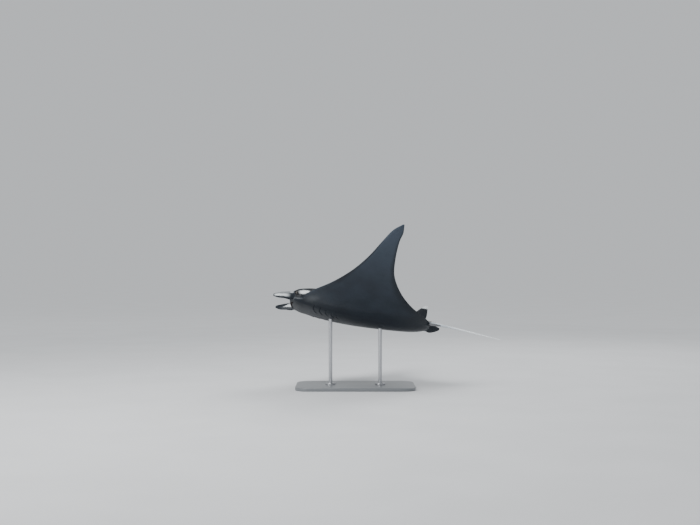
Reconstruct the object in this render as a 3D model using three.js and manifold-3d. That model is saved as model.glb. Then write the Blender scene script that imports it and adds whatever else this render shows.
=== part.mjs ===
// A life-size spinetail devil ray, Mobula mobular, its wings raised, banking and climbing on a display stand.
// Millimetres, +Z up. The ray heads along -X with its left side towards -Y, and the origin is the centre of
// the underside of the stand's base. The animal is first laid out level: x runs back from the front of the
// head, y is across and z is up. Its wings are bent upwards, and nested groups then bank it over its stand.
import * as THREE from "three";
import { mergeVertices } from "three/addons/utils/BufferGeometryUtils.js";
import Module from "manifold-3d";

const wasm = await Module();
wasm.setup();
const { degToRad, lerp, smoothstep } = THREE.MathUtils;

// ---- Driving dimensions ----
const HALF_SPAN = 1200; // from the midline to a wing tip, along the skin
const RIGID_HALF = 170; // this near the midline the body doesn't bend with the wings
const TIP_SLOPE = degToRad(51.7); // how steeply a wing rises at its tip
const BANK = degToRad(19); // left wing up
const CLIMB = degToRad(10); // head up
const HEADING = degToRad(-2.5);
const BALANCE_X = 550; // the point of the body's axis over the middle of the stand
const AXIS_HEIGHT = 620;
const GAP = 0.4; // clearance between neighbouring pieces

// Stations across half the disc, from the midline out. Each says where its section starts and ends on the
// rim, and how far the upper and lower skins stand from the mid-plane where the section is thickest.
const STATIONS = [
  { front: [0, 0], back: [1175, 0], top: 138, bottom: 94 }, // midline
  { front: [2, 90], back: [1172, 45], top: 132, bottom: 89 },
  { front: [24, 148], back: [1160, 100], top: 115, bottom: 76 }, // corner of the head
  { front: [100, 179], back: [1124, 188], top: 88, bottom: 57 }, // behind the eye
  { front: [138, 249], back: [1072, 270], top: 61, bottom: 40 }, // shoulder
  { front: [208, 375], back: [987, 385], top: 40, bottom: 27 },
  { front: [354, 550], back: [890, 550], top: 27, bottom: 18 },
  { front: [496, 731], back: [818, 731], top: 18, bottom: 11 },
  { front: [601, 891], back: [802, 891], top: 12, bottom: 7 },
  { front: [681, 1036], back: [808, 1046], top: 8, bottom: 5 },
  { front: [745, 1139], back: [826, 1128], top: 5, bottom: 4 },
  { front: [812, HALF_SPAN - 2], back: [824, HALF_SPAN - 3], top: 2.5, bottom: 2.5 }, // tip
];
const NOSE_POWER = 0.44; // roundness of a section's front
const REAR_POWER = 0.93; // how a section thins towards its rear edge
const BELLY_REAR_POWER = 0.46; // the same under the body, which stays deep as far as the pelvic fins
const EDGE_HALF = 0.9; // half the thickness of that edge
const RINGS_PER_STATION = 3;
const POINTS_PER_SKIN = 14;
const ROUND_SIDES = 14; // of the small fins and the tail
const POST_SIDES = 24;

const WING_ROOT = 240; // where a wing is parted from the trunk
const HEAD_LENGTH = 190;

const MOUTH = { halfWidth: 112, lip: 15, back: 66, z: -29, halfOpening: 7 };
const EYE = { x: 56, y: 148, z: 33, radius: 19.5 };

// Rows of x, y, z and the half sizes of the section across and up.
const CEPHALIC_FIN = [
  [62, 140, 26, 12, 30],
  [18, 155, 5, 15, 37],
  [-35, 168, -4, 14, 29],
  [-85, 176, -14, 11, 24],
  [-128, 174, -22, 4, 9],
];
const CEPHALIC_LEAF = 7; // thickness of the rolled fin
const CEPHALIC_CURL = degToRad(118);
const PELVIC_FIN = [
  [1085, 56, -1, 24, 12],
  [1130, 63, -4, 30, 9],
  [1175, 69, -8, 42, 7],
  [1220, 62, -2.5, 34, 4.5],
  [1258, 57, 3, 12, 2],
];
const PELVIC_DROOP = degToRad(30); // the outer edge of a pelvic fin hangs below its inner one
const TAIL = [
  [1080, 0, 10, 24, 22],
  [1150, 0, 17, 20, 20],
  [1230, 0, 20, 13, 13],
  [1330, 0, 18, 9, 9],
  [1470, 0, 10, 6.2, 6.4],
  [1620, 0, -1, 4.2, 4.4],
  [1772, 0, -12, 1.6, 1.8],
];
const TAIL_CUTS = [1325, 1545];
const DORSAL_FIN = {
  base: { front: 992, back: 1130, z: 14, half: 6.5 },
  tip: { front: 1111, back: 1131, z: 162, half: 1.8 },
  swell: 5, // how far the rear edge bows back
};
const SPINE = { front: { x: 1146, z: 40.5 }, back: { x: 1222, z: 37 }, halfWidth: 4, halfHeight: 2 };

const BASE = { length: 980, width: 560, corner: 110, thickness: 28, chamfer: 7 };
const ROD = { radius: 15, x: { front: -205, rear: 205 }, depth: 55 };
const COLLAR = { radius: 42, height: 12, chamfer: 4 };

// ---- Smooth curves ----
// A cubic curve through the rows of a table. u counts rows from 0.
function through(rows, u) {
  const last = rows.length - 1;
  const i = Math.min(Math.floor(u), last - 1);
  const t = u - i;
  const slope = (k, c) => {
    const [before, after] = [Math.max(k - 1, 0), Math.min(k + 1, last)];
    return (rows[after][c] - rows[before][c]) / (after - before);
  };
  return rows[i].map(
    (start, c) =>
      (2 * t ** 3 - 3 * t ** 2 + 1) * start + (3 * t ** 2 - 2 * t ** 3) * rows[i + 1][c] +
      (t ** 3 - 2 * t ** 2 + t) * slope(i, c) + (t ** 3 - t ** 2) * slope(i + 1, c),
  );
}

const halfDisc = STATIONS.map(({ front, back, top, bottom }) => [...front, ...back, top, bottom]);
const otherHalf = halfDisc.slice(1).map(([fx, fy, bx, by, top, bottom]) => [fx, -fy, bx, -by, top, bottom]);
const wholeDisc = [...otherHalf.reverse(), ...halfDisc];

// ---- Shapes and solids ----
// Rings of points joined one to the next, and closed by a fan over each end.
function loft(rings) {
  const n = rings[0].length;
  const middle = (ring) => ring.reduce((sum, p) => sum.add(p), new THREE.Vector3()).divideScalar(n);
  const points = [...rings.flat(), middle(rings[0]), middle(rings.at(-1))];
  const [firstFan, lastFan, lastRing] = [points.length - 2, points.length - 1, (rings.length - 1) * n];
  const index = [];
  for (let i = 0; i < n; i++) {
    const next = (i + 1) % n;
    for (let r = 0; r < lastRing; r += n)
      index.push(r + i, r + next, r + next + n, r + i, r + next + n, r + i + n);
    index.push(firstFan, next, i, lastFan, lastRing + i, lastRing + next);
  }
  return new THREE.BufferGeometry().setFromPoints(points).setIndex(index);
}

// A closed shape as a solid, turned to face out.
function solidOf(shape) {
  const bare = shape.clone();
  bare.deleteAttribute("normal");
  bare.deleteAttribute("uv");
  const merged = mergeVertices(bare, 1e-3);
  const vertProperties = new Float32Array(merged.getAttribute("position").array);
  const corners = Array.from(merged.index.array);
  const build = (triVerts) => new wasm.Manifold(new wasm.Mesh({ numProp: 3, vertProperties, triVerts }));
  const solid = build(new Uint32Array(corners));
  return solid.volume() > 0 ? solid : build(new Uint32Array(corners.reverse()));
}

function shapeOf(solid) {
  const mesh = solid.getMesh();
  const shape = new THREE.BufferGeometry();
  shape.setAttribute("position", new THREE.BufferAttribute(new Float32Array(mesh.vertProperties), 3));
  return shape.setIndex(new THREE.BufferAttribute(new Uint32Array(mesh.triVerts), 1));
}

const facingOut = (shape) => shapeOf(solidOf(shape));
const mirrored = (shape) => facingOut(shape.clone().scale(1, -1, 1));
const common = (a, b) => shapeOf(solidOf(a).intersect(solidOf(b)));
const without = (solid, tool) => solid.subtract(solidOf(tool));
const cut = (shape, ...tools) => shapeOf(tools.reduce(without, solidOf(shape)));

// The part of space between two values of x and two of y.
const FAR = 3000;
function slab(x0, x1, y0, y1) {
  return new THREE.BoxGeometry(x1 - x0, y1 - y0, FAR).translate((x0 + x1) / 2, (y0 + y1) / 2, 0);
}

// A shape grown by the clearance, for cutting its neighbours.
function grown(shape) {
  const merged = mergeVertices(facingOut(shape), 1e-3);
  merged.computeVertexNormals();
  const [p, n] = [merged.getAttribute("position"), merged.getAttribute("normal")];
  for (let i = 0; i < p.count; i++)
    p.setXYZ(i, p.getX(i) + GAP * n.getX(i), p.getY(i) + GAP * n.getY(i), p.getZ(i) + GAP * n.getZ(i));
  return merged;
}

// The level animal bent into its stroke: outside RIGID_HALF it follows an arc that steepens to TIP_SLOPE.
function bent(shape) {
  const out = shape.clone();
  const p = out.getAttribute("position");
  const rate = TIP_SLOPE / (HALF_SPAN - RIGID_HALF);
  for (let i = 0; i < p.count; i++) {
    const [y, z] = [p.getY(i), p.getZ(i)];
    const angle = Math.max(0, Math.abs(y) - RIGID_HALF) * rate;
    const reach = Math.min(Math.abs(y), RIGID_HALF) + Math.sin(angle) / rate;
    p.setY(i, Math.sign(y) * (reach - z * Math.sin(angle)));
    p.setZ(i, (1 - Math.cos(angle)) / rate + z * Math.cos(angle));
  }
  return out;
}

// ---- Flesh ----
// The disc: head, trunk and both pectoral fins as one smooth level body.
function disc() {
  const depth = (xi, rear) => {
    const peak = NOSE_POWER / (NOSE_POWER + rear);
    return (xi / peak) ** NOSE_POWER * ((1 - xi) / (1 - peak)) ** rear;
  };
  const half = (STATIONS.length - 1) * RINGS_PER_STATION;
  const rings = [];
  for (let k = 0; k <= 2 * half; k++) {
    const [fx, fy, bx, by, top, bottom] = through(wholeDisc, k / RINGS_PER_STATION);
    const bellyRear = lerp(BELLY_REAR_POWER, REAR_POWER, smoothstep(Math.abs(by), 0, 2 * WING_ROOT));
    const skinPoint = (i, height, rear) => {
      const xi = (1 - Math.cos((Math.PI * i) / POINTS_PER_SKIN)) / 2;
      const edge = EDGE_HALF * Math.min(1, 8 * xi);
      const z = Math.abs(height) * depth(xi, rear) + edge;
      return new THREE.Vector3(lerp(fx, bx, xi), lerp(fy, by, xi), Math.sign(height) * z);
    };
    const ring = [];
    for (let i = 0; i <= POINTS_PER_SKIN; i++) ring.push(skinPoint(i, top, REAR_POWER));
    for (let i = POINTS_PER_SKIN; i > 0; i--) ring.push(skinPoint(i, -bottom, bellyRear));
    rings.push(ring);
  }
  return loft(rings);
}

// Sections drawn by a function along the rows of a table.
function alongRows(rows, steps, section) {
  const rings = [];
  for (let k = 0; k <= steps; k++) {
    const [x, y, z, across, up] = through(rows, (k / steps) * (rows.length - 1));
    rings.push(section(across, up).map(([dy, dz]) => new THREE.Vector3(x, y + dy, z + dz)));
  }
  return loft(rings);
}

function oval(across, up) {
  const turns = [...Array(ROUND_SIDES).keys()].map((i) => (2 * Math.PI * i) / ROUND_SIDES);
  return turns.map((a) => [across * Math.cos(a), up * Math.sin(a)]);
}

// A leaf rolled along its length into a horn that is open towards the midline.
function rolledLeaf(across, up) {
  const leaf = Math.min(CEPHALIC_LEAF, across);
  const sweep = [...Array(9).keys()].map((i) => CEPHALIC_CURL * (1 - i / 4));
  const arc = (width, height, shift) => sweep.map((a) => [width * Math.cos(a) - shift, height * Math.sin(a)]);
  return [...arc(across, up, 0), ...arc(across - leaf, up - 0.7 * leaf, 0.3 * leaf).reverse()];
}

// A pelvic fin's oval, rolled so that its outer edge droops.
function drooped(across, up) {
  const [cos, sin] = [Math.cos(PELVIC_DROOP), Math.sin(PELVIC_DROOP)];
  return oval(across, up).map(([dy, dz]) => [dy * cos + dz * sin, dz * cos - dy * sin]);
}

// A small swept fin that stands upright on the midline.
function dorsalFin() {
  const { base, tip, swell } = DORSAL_FIN;
  const levels = 9;
  const rings = [];
  for (let k = 0; k <= levels; k++) {
    const t = k / levels;
    const front = lerp(base.front, tip.front, lerp(t, t ** 3, 0.4));
    const back = lerp(base.back, tip.back, t ** 4) + swell * Math.sin(Math.PI * t);
    const outline = oval((back - front) / 2, lerp(base.half, tip.half, t));
    const [middle, z] = [(front + back) / 2, lerp(base.z, tip.z, t)];
    rings.push(outline.map(([dx, dy]) => new THREE.Vector3(middle + dx, dy, z)));
  }
  return loft(rings);
}

// A flat blade that lies along the top of the tail, just behind the dorsal fin.
function tailSpine() {
  const { front, back, halfWidth, halfHeight } = SPINE;
  const rings = [0, 0.3, 0.6, 0.85, 1].map((t) => {
    const across = halfWidth * Math.sqrt(1 - 0.96 * t ** 2);
    const blade = [[-across, 0], [0, -halfHeight], [across, 0], [0, halfHeight]];
    const [x, z] = [lerp(front.x, back.x, t), lerp(front.z, back.z, t)];
    return blade.map(([y, dz]) => new THREE.Vector3(x, y, z + dz));
  });
  return loft(rings);
}

function eyeball(extra = 0) {
  return new THREE.SphereGeometry(EYE.radius + extra, 14, 10).translate(EYE.x, EYE.y, EYE.z);
}

// A wide slot under the front of the head that narrows towards the throat.
function mouthSlot() {
  const { halfWidth, halfOpening, lip, back, z } = MOUTH;
  const rings = [[-lip, 1, 1], [lip, 1, 1], [back, 0.8, 0.35]].map(([x, width, opening]) => {
    const [y, up] = [halfWidth * width, halfOpening * opening];
    return [[y, up], [-y, up], [-y, -up], [y, -up]].map(([dy, dz]) => new THREE.Vector3(x, dy, z + dz));
  });
  return loft(rings);
}

function fleshPieces() {
  const g = GAP / 2;
  const level = disc();
  const middle = common(level, slab(-FAR, FAR, g - WING_ROOT, WING_ROOT - g));
  const head = bent(common(middle, slab(-FAR, HEAD_LENGTH - g, -FAR, FAR)));
  const trunk = bent(common(middle, slab(HEAD_LENGTH + g, FAR, -FAR, FAR)));
  const body = grown(bent(level));

  const wholeTail = alongRows(TAIL, 20, oval);
  const tail = cut(wholeTail, body);
  const tailSpace = grown(wholeTail);
  const [first, second] = TAIL_CUTS;
  const pieces = {
    head: cut(head, mouthSlot(), eyeball(GAP), mirrored(eyeball(GAP))),
    trunk,
    dorsal_fin: cut(dorsalFin(), body, tailSpace),
    tail_base: common(tail, slab(-FAR, first - g, -FAR, FAR)),
    tail_middle: common(tail, slab(first + g, second - g, -FAR, FAR)),
    tail_end: common(tail, slab(second + g, FAR, -FAR, FAR)),
    tail_spine: cut(tailSpine(), tailSpace, grown(dorsalFin())),
  };

  const wing = bent(common(level, slab(-FAR, FAR, WING_ROOT + g, FAR)));
  const cephalic = bent(alongRows(CEPHALIC_FIN, 12, rolledLeaf));
  const pelvic = alongRows(PELVIC_FIN, 10, drooped);
  for (const [side, place] of Object.entries({ left: mirrored, right: facingOut })) {
    pieces[`${side}_pectoral_fin`] = place(wing);
    pieces[`${side}_cephalic_fin`] = cut(place(cephalic), body, place(eyeball(GAP)));
    pieces[`${side}_pelvic_fin`] = cut(place(pelvic), body, tailSpace);
    pieces[`${side}_eye`] = place(eyeball());
  }
  return pieces;
}

// ---- Stand ----
function standBase() {
  const { length, width, corner, thickness, chamfer } = BASE;
  const corners = [[1, 1], [-1, 1], [-1, -1], [1, -1]];
  const outline = (inset, z) =>
    corners.flatMap(([sx, sy], quarter) =>
      [...Array(7).keys()].map((i) => {
        const angle = (Math.PI / 2) * (quarter + i / 6);
        const x = sx * (length / 2 - corner) + (corner - inset) * Math.cos(angle);
        return new THREE.Vector3(x, sy * (width / 2 - corner) + (corner - inset) * Math.sin(angle), z);
      }),
    );
  return facingOut(loft([outline(0, 0), outline(0, thickness - chamfer), outline(chamfer, thickness)]));
}

// An upright cylinder over the midline of the base.
function post(x, radius, bottom, top) {
  const shape = new THREE.CylinderGeometry(radius, radius, top - bottom, POST_SIDES);
  return shape.rotateX(Math.PI / 2).translate(x, 0, (top + bottom) / 2);
}

function standCollar(x) {
  const inside = ROD.radius + GAP;
  const profile = [
    [inside, 0],
    [COLLAR.radius, 0],
    [COLLAR.radius, COLLAR.height - COLLAR.chamfer],
    [COLLAR.radius - COLLAR.chamfer, COLLAR.height],
    [inside, COLLAR.height],
    [inside, 0],
  ];
  const ring = new THREE.LatheGeometry(profile.map(([r, z]) => new THREE.Vector2(r, z)), POST_SIDES);
  return facingOut(ring.rotateX(Math.PI / 2).translate(x, 0, BASE.thickness + GAP));
}

// ---- Assembly ----
const skin = new THREE.MeshStandardMaterial({ color: 0x29323d, roughness: 0.5 });
const eye = new THREE.MeshStandardMaterial({ color: 0x0b0a09, roughness: 0.08 });
const spineBone = new THREE.MeshStandardMaterial({ color: 0xb9b1a0, roughness: 0.55 });
const steel = new THREE.MeshStandardMaterial({ color: 0xb4b7ba, roughness: 0.3, metalness: 1 });
const lacquer = new THREE.MeshStandardMaterial({ color: 0x6f7274, roughness: 0.4 });
const ownFinish = { left_eye: eye, right_eye: eye, tail_spine: spineBone };

function piece(name, shape, material) {
  const mesh = new THREE.Mesh(shape, material);
  mesh.name = name;
  mesh.geometry.computeVertexNormals();
  return mesh;
}

const banked = new THREE.Group();
banked.rotation.set(-BANK, CLIMB, HEADING, "ZYX");
banked.position.z = AXIS_HEIGHT;
const animal = new THREE.Group();
animal.position.x = -BALANCE_X;
banked.add(animal);
const model = new THREE.Group();
model.add(banked);
model.updateMatrixWorld(true);

const flesh = fleshPieces();
const toAnimal = animal.matrixWorld.clone().invert();
const placedTrunk = flesh.trunk.clone().applyMatrix4(animal.matrixWorld);
const bores = [];
for (const [end, x] of Object.entries(ROD.x)) {
  const over = common(placedTrunk, post(x, ROD.radius, 0, FAR));
  over.computeBoundingBox();
  const top = over.boundingBox.min.z + ROD.depth;
  bores.push(post(x, ROD.radius + GAP, 0, top + GAP));
  model.add(piece(`stand_rod_${end}`, post(x, ROD.radius, BASE.thickness + GAP, top), steel));
  model.add(piece(`stand_collar_${end}`, standCollar(x), steel));
}
flesh.trunk = cut(placedTrunk, ...bores).applyMatrix4(toAnimal);

for (const [name, shape] of Object.entries(flesh)) animal.add(piece(name, shape, ownFinish[name] ?? skin));
model.add(piece("stand_base", standBase(), lacquer));

export default model;
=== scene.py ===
"""Dresses a life-size devil ray on its display stand: one skin over the flesh, eyes, tail spine and stand.

Lengths in the tables are millimetres and everything in Blender is metres. The skin is made level: x runs back
from the front of the head, y across and z up. It is then bent into its stroke and banked over the stand, so
every mark on it is placed in level coordinates. Run it as a script. It is laid out as an add-on.
"""

import math

import bmesh
import bpy
import numpy as np
from bpy.props import FloatProperty, FloatVectorProperty, IntProperty, PointerProperty
from mathutils import Euler, Matrix, Vector, kdtree


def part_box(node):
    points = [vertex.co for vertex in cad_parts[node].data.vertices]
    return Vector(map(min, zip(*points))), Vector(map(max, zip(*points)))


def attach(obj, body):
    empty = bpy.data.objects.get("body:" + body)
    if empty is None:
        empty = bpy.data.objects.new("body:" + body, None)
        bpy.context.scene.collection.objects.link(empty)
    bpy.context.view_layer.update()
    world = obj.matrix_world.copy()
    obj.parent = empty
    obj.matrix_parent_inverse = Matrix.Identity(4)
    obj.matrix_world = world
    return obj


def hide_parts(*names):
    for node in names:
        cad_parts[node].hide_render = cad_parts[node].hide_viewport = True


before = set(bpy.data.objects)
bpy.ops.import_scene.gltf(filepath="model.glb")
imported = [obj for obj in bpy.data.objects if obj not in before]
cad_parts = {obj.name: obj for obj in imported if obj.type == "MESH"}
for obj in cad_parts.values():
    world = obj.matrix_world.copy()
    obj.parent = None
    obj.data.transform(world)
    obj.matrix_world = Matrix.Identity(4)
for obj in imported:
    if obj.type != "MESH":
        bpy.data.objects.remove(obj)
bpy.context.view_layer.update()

bl_info = {
    "name": "Devil ray",
    "version": (1, 0, 0),
    "blender": (4, 5, 0),
    "location": "3D View > Sidebar > Ray",
    "description": "Makes a devil ray's skin, eyes, tail spine, display stand and studio",
    "category": "Object",
}

MM = 0.001

# ---- The animal's driving sizes, in millimetres and degrees ----
HALF_SPAN = 1200
RIGID_HALF = 170
TIP_SLOPE = math.radians(51.7)
BANK = math.radians(19)
CLIMB = math.radians(10)
HEADING = math.radians(-2.5)
BALANCE_X = 550
AXIS_HEIGHT = 620

# Stations across half the disc: front x, y, back x, y, height of the upper skin, depth of the lower one.
STATIONS = (
    (0, 0, 1175, 0, 138, 94),
    (2, 90, 1172, 45, 132, 89),
    (24, 148, 1160, 100, 115, 76),
    (100, 179, 1124, 188, 88, 57),
    (138, 249, 1072, 270, 61, 40),
    (208, 375, 987, 385, 40, 27),
    (354, 550, 890, 550, 27, 18),
    (496, 731, 818, 731, 18, 11),
    (601, 891, 802, 891, 12, 7),
    (681, 1036, 808, 1046, 8, 5),
    (745, 1139, 826, 1128, 5, 4),
    (812, HALF_SPAN - 2, 824, HALF_SPAN - 3, 2.5, 2.5),
)
NOSE_POWER = 0.44
REAR_POWER = 0.93
BELLY_REAR_POWER = 0.46
BELLY_HALF = 480
EDGE_HALF = 0.9

# Rows of x, y, z and the half sizes of the section across and up.
CEPHALIC_FIN = ((62, 140, 26, 12, 30), (18, 155, 5, 15, 37), (-35, 168, -4, 14, 29), (-85, 176, -14, 11, 24),
                (-128, 174, -22, 4, 9))
CEPHALIC_LEAF = 7
CEPHALIC_CURL = math.radians(118)
PELVIC_FIN = ((1085, 56, -1, 24, 12), (1130, 63, -4, 30, 9), (1175, 69, -8, 42, 7), (1220, 62, -2.5, 34, 4.5),
              (1258, 57, 3, 12, 2))
PELVIC_DROOP = math.radians(30)
TAIL = ((1080, 0, 10, 24, 22), (1150, 0, 17, 20, 20), (1230, 0, 20, 13, 13), (1330, 0, 18, 9, 9),
        (1470, 0, 10, 6.2, 6.4), (1620, 0, -1, 4.2, 4.4), (1772, 0, -12, 1.6, 1.8))
DORSAL_BASE = {"front": 992, "back": 1130, "z": 14, "half": 6.5}
DORSAL_TIP = {"front": 1111, "back": 1131, "z": 162, "half": 1.8}
DORSAL_SWELL = 5
SPINE = {"front": (1146, 40.5), "back": (1222, 37), "half_width": 4, "half_height": 2}
EYE_CENTRE = np.array((56.0, 148.0, 33.0))
EYE_RADIUS = 19.5
SOCKET_PLAY = 0.5
EYEBALL_INSET = 0.9
ORBIT_REACH = 42
MOUTH = {"half_width": 112, "lip": 15, "back": 66, "z": -29, "half_opening": 7}
# The gill slits of one side: x, inner y and outer y.
GILLS = ((214, 52, 172), (266, 48, 160), (316, 44, 146), (364, 40, 128), (408, 36, 106))

# White marks on the level skin, with the centre and half sizes of each.
EYE_PATCH = {"x": 121, "z": 47, "slope": 0.06, "half_length": 50, "half_height": 21}
SHOULDER_PALE = {"x": 200, "y": 260, "half_length": 110, "half_width": 45}
SHOULDER_AXIS = (0.62, 0.78)
DORSAL_WHITE = {"low": 134, "high": 143}
TAIL_PALE = {"from": 1150, "to": 1210}
TAIL_WHITE = {"from": 1250, "to": 1500}

# ---- The stand ----
BASE_CORNER = 110
BASE_FOOT_EDGE = 1.2
ROD_RADIUS = 15
ROD_END_EDGE = 1.5
GAP = 0.4
COLLAR_EDGE = 4
COLLAR_FOOT_EDGE = 0.8
COLLAR_BORE_EDGE = 1

# ---- The studio, in metres and watts ----
# Soft lamps: name, place, height of the point they face, size and power.
LIGHTS = (("key", (-2.5, -3.0, 5.5), 0.8, 4.0, 420), ("rim", (2.4, 3.4, 5.0), 0.8, 3.5, 190),
          ("fill", (-5.0, -6.0, 1.8), 0.7, 3.5, 90))
FLOOR_RADII = (80.0, 24.0, 10.0, 4.0, 0.5)
FLOOR_GLOW = (2.0, 11.0)
LENS = 55.9
CAMERA_RIGHT = 0.497
CAMERA_UP = 0.319

FLESH_NODES = ("head", "trunk", "left_pectoral_fin", "right_pectoral_fin", "left_cephalic_fin",
               "right_cephalic_fin", "dorsal_fin", "left_pelvic_fin", "right_pelvic_fin", "tail_base",
               "tail_middle", "tail_end")
# What a point of the skin is on.
BODY, HORN, DORSAL, PELVIC, TAIL_PART, MOUTH_PART, SOCKET = range(1, 8)


# ---- Sizes and colours a user would change ----
def colour_setting(name, description, default):
    return FloatVectorProperty(name=name, description=description, default=default, subtype="COLOR")


class SkinSettings(bpy.types.PropertyGroup):
    head_grid: FloatProperty(name="Head grid", description="Spacing of the skin's mesh on the head",
                             default=2.2 * MM, unit="LENGTH")
    wing_grid: FloatProperty(name="Wing grid", description="Spacing of the skin's mesh along the wings",
                             default=8 * MM, unit="LENGTH")
    fillet: FloatProperty(name="Fillet", description="How far the joints of the small fins are blended",
                          default=24 * MM, unit="LENGTH")
    back: colour_setting("Back", "Colour of the upper side", (0.009, 0.012, 0.017))
    # The belly colour is painted shade: the under side is painted dark slate for the shade it lies in.
    belly: colour_setting("Belly", "Colour of the under side", (0.018, 0.024, 0.033))
    # The margin colour is the fins' dark edges and also painted shade on the middle of the under side.
    margin: colour_setting("Margin", "Colour of the fins' dark edges", (0.005, 0.007, 0.010))
    patch: colour_setting("Patch", "Colour of the white marks", (0.66, 0.69, 0.70))
    tail: colour_setting("Tail", "Colour of the tail's pale sides", (0.44, 0.48, 0.52))
    # The mouth colour is painted shade: the inside of the narrow mouth is painted near black for the shade in
    # it.
    mouth: colour_setting("Mouth", "Colour inside the mouth", (0.010, 0.006, 0.006))


class EyeSettings(bpy.types.PropertyGroup):
    iris: colour_setting("Iris", "Colour of the iris", (0.012, 0.009, 0.006))
    rim: colour_setting("Rim", "Colour of the eyeball round the iris", (0.010, 0.010, 0.011))
    segments: IntProperty(name="Segments", description="Divisions round the eyeball", default=64)


class StandSettings(bpy.types.PropertyGroup):
    lacquer: colour_setting("Lacquer", "Colour of the base", (0.16, 0.17, 0.18))
    steel: colour_setting("Steel", "Colour of the rods", (0.50, 0.51, 0.53))
    edge: FloatProperty(name="Edge", description="Radius of the base's upper edge", default=7 * MM,
                        unit="LENGTH")


class StageSettings(bpy.types.PropertyGroup):
    floor: colour_setting("Floor", "Colour of the floor", (0.62, 0.63, 0.64))
    sky: colour_setting("Surround", "Colour of the studio's light", (0.60, 0.62, 0.64))
    distance: FloatProperty(name="Distance", description="From the camera to the front of the head",
                            default=9.0, unit="LENGTH")


# ---- Curves and tables ----
def through(rows, u):
    """Points of a smooth curve through the rows of a table, where u counts rows from 0."""
    rows = np.asarray(rows, float)
    slopes = np.gradient(rows, axis=0)
    u = np.atleast_1d(np.asarray(u, float))
    i = np.clip(u.astype(int), 0, len(rows) - 2)
    t = (u - i)[:, None]
    return ((2 * t**3 - 3 * t**2 + 1) * rows[i] + (3 * t**2 - 2 * t**3) * rows[i + 1]
            + (t**3 - 2 * t**2 + t) * slopes[i] + (t**3 - t**2) * slopes[i + 1])


def smooth(value, low, high):
    """0 below low, 1 above high and smooth between them."""
    t = np.clip((value - low) / (high - low), 0, 1)
    return t * t * (3 - 2 * t)


def hump(value, centre, width):
    """1 at the centre and falls smoothly to 0 on both sides."""
    return np.exp(-(((value - centre) / width) ** 2))


def around(count):
    """Angles once round a circle."""
    return np.linspace(0, 2 * np.pi, count, endpoint=False)


def ring_of(x, y, z):
    """A ring of points or marks. A single number holds for the whole ring."""
    return np.column_stack(np.broadcast_arrays(x, y, z))


def round_end(t, start, least):
    """1 up to start, then falls as a quarter circle does, to least at 1."""
    return math.sqrt(max(1 - max((t - start) / (1 - start), 0) ** 2, least**2))


def graded(stops, multiple=1):
    """Positions along a line whose spacing follows stops of (position, spacing)."""
    at, spacing = np.array(stops, float).T
    fine = np.linspace(at[0], at[-1], 6001)
    count = np.concatenate([[0], np.cumsum(np.diff(fine) / np.interp(fine[1:], at, spacing))])
    steps = int(math.ceil(count[-1] / multiple)) * multiple
    return np.interp(np.linspace(0, count[-1], steps + 1), count, fine)


# ---- Meshes ----
def skin_of_rings(rings):
    """Faces over closed rings of points, each with as many points as the next, or half or twice as many."""
    sizes = [len(ring) for ring in rings]
    starts = np.concatenate([[0], np.cumsum(sizes)])
    spans = [np.arange(size) + start for size, start in zip(sizes, starts)]
    faces = []
    for a, b in zip(spans, spans[1:]):
        if len(a) == len(b):
            faces += np.stack([a, np.roll(a, -1), np.roll(b, -1), b], 1).tolist()
            continue
        fine, coarse = (a, b) if len(a) > len(b) else (b, a)
        first, middle, last = fine[::2], fine[1::2], np.roll(fine[::2], -1)
        after = np.roll(coarse, -1)
        corners = np.concatenate([np.stack([first, middle, coarse], 1), np.stack([middle, after, coarse], 1),
                                  np.stack([middle, last, after], 1)])
        faces += (corners if fine is a else corners[:, ::-1]).tolist()
    points = np.concatenate(rings)
    ends = [rings[0].mean(0), rings[-1].mean(0)]
    first_end, last_end = len(points), len(points) + 1
    faces += [[first_end, j, i] for i, j in zip(spans[0], np.roll(spans[0], -1))]
    faces += [[last_end, i, j] for i, j in zip(spans[-1], np.roll(spans[-1], -1))]
    return np.vstack([points, ends]), faces


def make_object(name, points, faces):
    """A mesh object that faces out, in metres, from points in metres."""
    mesh = bpy.data.meshes.new(name)
    mesh.from_pydata(np.asarray(points).tolist(), [], [list(map(int, face)) for face in faces])
    mesh.validate()
    obj = bpy.data.objects.new(name, mesh)
    bpy.context.scene.collection.objects.link(obj)
    face_out(mesh)
    return obj


def face_out(mesh):
    made = bmesh.new()
    made.from_mesh(mesh)
    if made.calc_volume(signed=True) < 0:
        bmesh.ops.reverse_faces(made, faces=made.faces)
    made.to_mesh(mesh)
    made.free()


def set_field(mesh, name, values):
    """A number or a vector at each point of a mesh."""
    values = np.asarray(values, np.float32)
    kind, key = ("FLOAT", "value") if values.ndim == 1 else ("FLOAT_VECTOR", "vector")
    field = mesh.attributes.get(name) or mesh.attributes.new(name, kind, "POINT")
    field.data.foreach_set(key, values.ravel())


def read(items, key, width, kind=np.float32):
    """A number for each item of a mesh's list, or a row of numbers where width is over 1."""
    values = np.zeros(len(items) * width, kind)
    items.foreach_get(key, values)
    return values if width == 1 else values.reshape(-1, width)


def get_field(mesh, name, width=1):
    key = "value" if width == 1 else "vector"
    return read(mesh.attributes[name].data, key, width).astype(float)


def points_of(mesh):
    return read(mesh.vertices, "co", 3).astype(float)


def normals_of(mesh):
    return read(mesh.vertex_normals, "vector", 3).astype(float)


def edges_of(mesh):
    return read(mesh.edges, "vertices", 2, np.int32)


def set_points(mesh, points):
    mesh.vertices.foreach_set("co", np.asarray(points, np.float32).ravel())
    mesh.update()


def neighbour_mean(values, edges):
    """The mean of each point's neighbours, for a column or several."""
    a, b = np.concatenate([edges, edges[:, ::-1]]).T
    count = np.maximum(np.bincount(a, minlength=len(values)), 1)
    columns = values if values.ndim == 2 else values[:, None]
    sums = [np.bincount(a, weights=column[b], minlength=len(values)) for column in columns.T]
    mean = np.stack(sums, 1) / count[:, None]
    return mean if values.ndim == 2 else mean[:, 0]


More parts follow.
